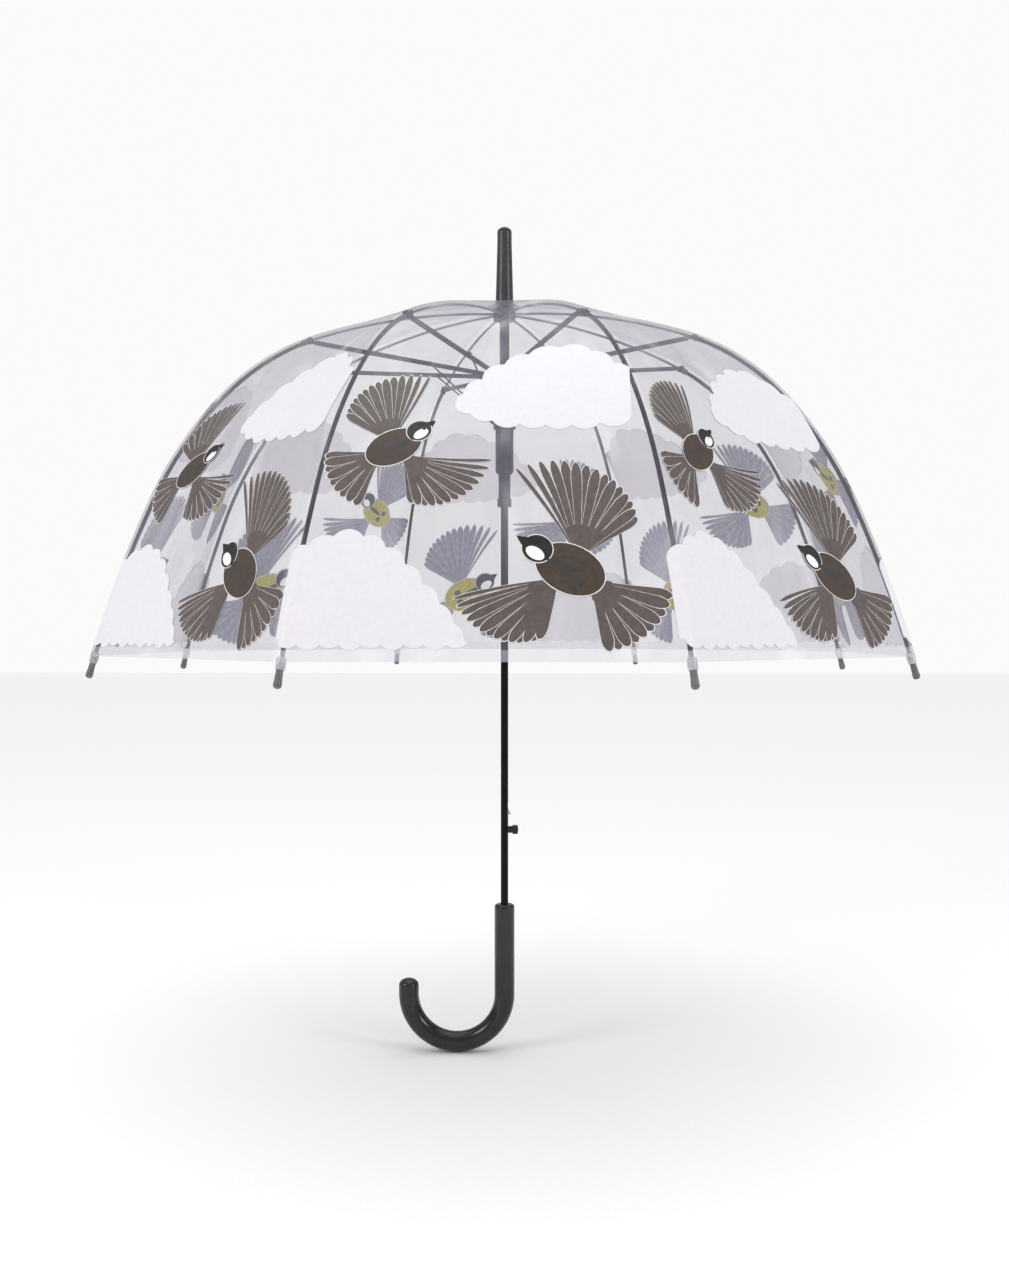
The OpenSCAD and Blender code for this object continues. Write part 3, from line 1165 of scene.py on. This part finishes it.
@dataclass
class Trim:
    """Small pieces that finish the umbrella: the coil, the hem's corners and the top's disc."""

    coil_radius: float = 0.00705
    coil_wire: float = 0.00055
    coil_turns: int = 9
    coil_foot: float = 0.4776
    coil_top: float = 0.5166
    coil_keep: float = 0.25
    corner_radius: float = 0.0036
    corner_span: tuple[float, float] = (-0.0065, 0.0030)
    corner_wall: float = 0.0005
    corner_points: int = 24
    disc_hole: float = 0.0043
    disc_radius: float = 0.017
    disc_height: float = 0.64165

    def build(self) -> None:
        """Makes every piece of trim."""
        self.coil()
        self.disc()
        for rib in range(1, RIB_COUNT + 1):
            self.corner(rib)
        LOG.info("trim: coil, disc and %d hem corners", RIB_COUNT)

    def coil(self) -> None:
        """Winds the opening spring and hangs it on the runner, in place of the imported spring.
        """
        around, per_turn = 8, 24
        steps = self.coil_turns * per_turn
        rise = (self.coil_top - self.coil_foot - 2 * self.coil_wire) / steps
        rows = []
        for i in range(steps + 1):
            angle = 2 * math.pi * i / per_turn
            height = self.coil_foot + self.coil_wire + rise * i
            row = []
            for j in range(around):
                turn = 2 * math.pi * j / around
                radius = self.coil_radius + self.coil_wire * math.cos(turn)
                row.append(Vector((*stepped((0.0, 0.0), radius, angle),
                                   height + self.coil_wire * math.sin(turn))))
            rows.append(row)
        patch = Patch()
        patch.grid(rows, "steel", closed=True)
        for row in (rows[0][::-1], rows[-1]):
            patch.fan(sum(row, Vector()) / around, row, "steel")
        piece = patch.build("opening_coil")
        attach(piece, "runner")
        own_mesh(piece)
        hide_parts("opening_spring")

    def disc(self) -> None:
        """Lays the welded disc that closes the film round the shaft."""
        patch = Patch()
        around = 48
        hole, rim = self.disc_hole, self.disc_radius
        section = [(hole, 0.0), (hole, 0.0007), (0.0120, 0.0008), (0.0160, 0.0006),
                   (rim, 0.0003), (rim, 0.0), (0.0120, 0.0001), (hole, 0.0)]
        rows = [[Vector((*stepped((0.0, 0.0), radius, 2 * math.pi * j / around),
                         self.disc_height + lift))
                 for j in range(around)] for radius, lift in section]
        patch.grid(rows, "hem", closed=True)
        piece = patch.build("apex_disc")
        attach(piece, "shaft")

    def corner(self, rib: int) -> None:
        """Wraps the hem's folded corner round the head of a rib's tip.

        Args:
            rib: The rib's number.
        """
        foot = CURVE.lower(CURVE.rod_length(), 0.0)
        heading = math.radians(CURVE.heading - sum(turn for _, turn in CURVE.arcs))
        along = Vector((math.cos(heading), 0.0, math.sin(heading)))
        out = Vector((-along.z, 0.0, along.x))
        side = Vector((0.0, 1.0, 0.0))
        start, end = self.corner_span
        middle = Vector((foot[0], 0.0, foot[1]))
        wall = self.corner_wall
        section = [(start, 0.0), (start * 0.4, 0.0003), (end * 0.5, 0.0002), (end, -0.0002),
                   (end, -0.0002 - wall), (end * 0.5, 0.0002 - wall), (start, -wall),
                   (start, 0.0)]
        turn = rib_azimuth(rib)
        rows = []
        for step, proud in section:
            row = []
            radius = self.corner_radius + proud
            for j in range(self.corner_points):
                angle = 2 * math.pi * j / self.corner_points
                spot = (middle + along * step + out * radius * math.cos(angle)
                        + side * radius * math.sin(angle))
                row.append(Vector((*turned(spot.x, spot.y, turn), spot.z)))
            rows.append(row)
        patch = Patch()
        patch.grid(rows, "hem", closed=True)
        piece = patch.build(f"hem_corner_{rib}")
        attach(piece, f"rod_{rib}")


# ---- Studio ----


@dataclass
class Studio:
    """A pale floor, soft light and the camera."""

    distance: float = 1.341
    azimuth: float = 2.2
    eye: float = 0.318
    lens: float = 37.6
    shift: float = -0.0082
    floor_z: float = -0.1035
    backdrop: float = 0.96
    room_light: float = 0.46
    ceiling_light: float = 1.62
    ceiling_spread: float = 70.0
    floor_reach: float = 12.0
    sensor: float = 36.0
    aim: tuple[float, float, float] = (0.0, 0.0, 0.35)
    softboxes: tuple[tuple[str, tuple[float, float, float], float, float], ...] = (
        ("softbox_left", (-1.9, -1.5, 1.5), 1.0, 18.0),
        ("softbox_right", (2.0, -1.2, 1.1), 0.7, 12.0))

    def build(self) -> None:
        """Sets up the floor, the lights and the camera."""
        self.floor()
        self.lights()
        self.camera()

    def floor(self) -> None:
        """Lays the floor under the handle."""
        patch = Patch()
        lines = (-self.floor_reach, 0.0, self.floor_reach)
        patch.grid([[Vector((x, y, self.floor_z)) for x in lines] for y in lines], "floor")
        patch.build("floor")

    def lights(self) -> None:
        """Hangs the softboxes in a white room."""
        world = bpy.data.worlds.new("room")
        world.use_nodes = True
        tree = world.node_tree
        backdrop = tree.nodes["Background"]
        backdrop.inputs["Color"].default_value = (1.0, 1.0, 1.0, 1.0)
        seen = tree.nodes.new("ShaderNodeLightPath")
        level = tree.nodes.new("ShaderNodeMapRange")
        level.inputs["To Min"].default_value = self.room_light
        level.inputs["To Max"].default_value = self.backdrop
        tree.links.new(seen.outputs["Is Camera Ray"], level.inputs["Value"])
        tree.links.new(level.outputs["Result"], backdrop.inputs["Strength"])
        bpy.context.scene.world = world
        bpy.context.scene.view_settings.view_transform = "Standard"
        for name, place, size, power in self.softboxes:
            lamp = bpy.data.lights.new(name, "AREA")
            lamp.energy = power
            lamp.size = size
            holder = stand(name, lamp)
            holder.location = place
            way = Vector(self.aim) - Vector(place)
            holder.rotation_euler = way.to_track_quat("-Z", "Y").to_euler()
        sun = bpy.data.lights.new("ceiling", "SUN")
        sun.energy = self.ceiling_light
        sun.angle = math.radians(self.ceiling_spread)
        stand("ceiling", sun).location = (0.0, 0.0, 3.0)

    def camera(self) -> None:
        """Stands the camera level in front of the umbrella."""
        data = bpy.data.cameras.new("camera")
        data.sensor_fit = "VERTICAL"
        data.sensor_height = self.sensor
        data.lens = self.lens
        data.shift_y = self.shift
        data.clip_end = 60.0
        eye = stand("camera", data)
        turn = math.radians(self.azimuth)
        eye.location = (self.distance * math.sin(turn), -self.distance * math.cos(turn), self.eye)
        eye.rotation_euler = (math.pi / 2, 0.0, turn)
        bpy.context.scene.camera = eye


def main() -> None:
    """Builds the umbrella and its studio in order."""
    logging.basicConfig(level=logging.INFO, format="%(name)s: %(message)s")
    for part in (Studio(), Frame(), Trim(), Canopy(), Print()):
        part.build()
        LOG.info("%s built", type(part).__name__)


if __name__ == "__main__":
    main()
